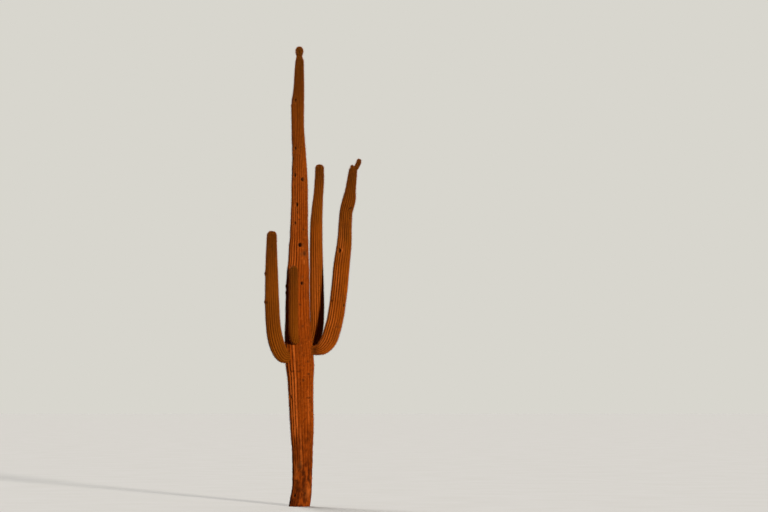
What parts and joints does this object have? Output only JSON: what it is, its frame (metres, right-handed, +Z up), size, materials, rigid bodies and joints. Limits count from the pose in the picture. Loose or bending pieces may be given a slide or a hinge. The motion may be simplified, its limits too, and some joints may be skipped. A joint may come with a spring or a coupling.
{
  "type": "saguaro cactus",
  "caption": "Tall ribbed columnar cactus with a tapering trunk, upturned ribbed arms that spring from a third of its height, and a round bud on its tip.",
  "frame": {"origin": "middle of the flat cut under the trunk, at ground level", "axes": "+Z up along the trunk, +X to the right and +Y away from someone who faces the front of the plant, +X being the side of the longest arm"},
  "size_m": [2.0776, 1.1978, 10],
  "materials": {
    "trunk_skin": "weathered waxy skin, corky at the foot",
    "arm_skin": "waxy skin",
    "areole_felt": "short grey-brown felt",
    "spines": "dry, straw to grey"
  },
  "bodies": {
    "root": {"trunk": "trunk_skin", "left_arm_elbow": "arm_skin", "left_arm_shaft": "arm_skin", "right_arm_elbow": "arm_skin", "right_arm_shaft": "arm_skin", "right_arm_finger_bud": "arm_skin", "right_arm_knob_bud": "arm_skin", "inner_arm_elbow": "arm_skin", "inner_arm_shaft": "arm_skin", "front_arm": "arm_skin"}
  },
  "joints": []
}
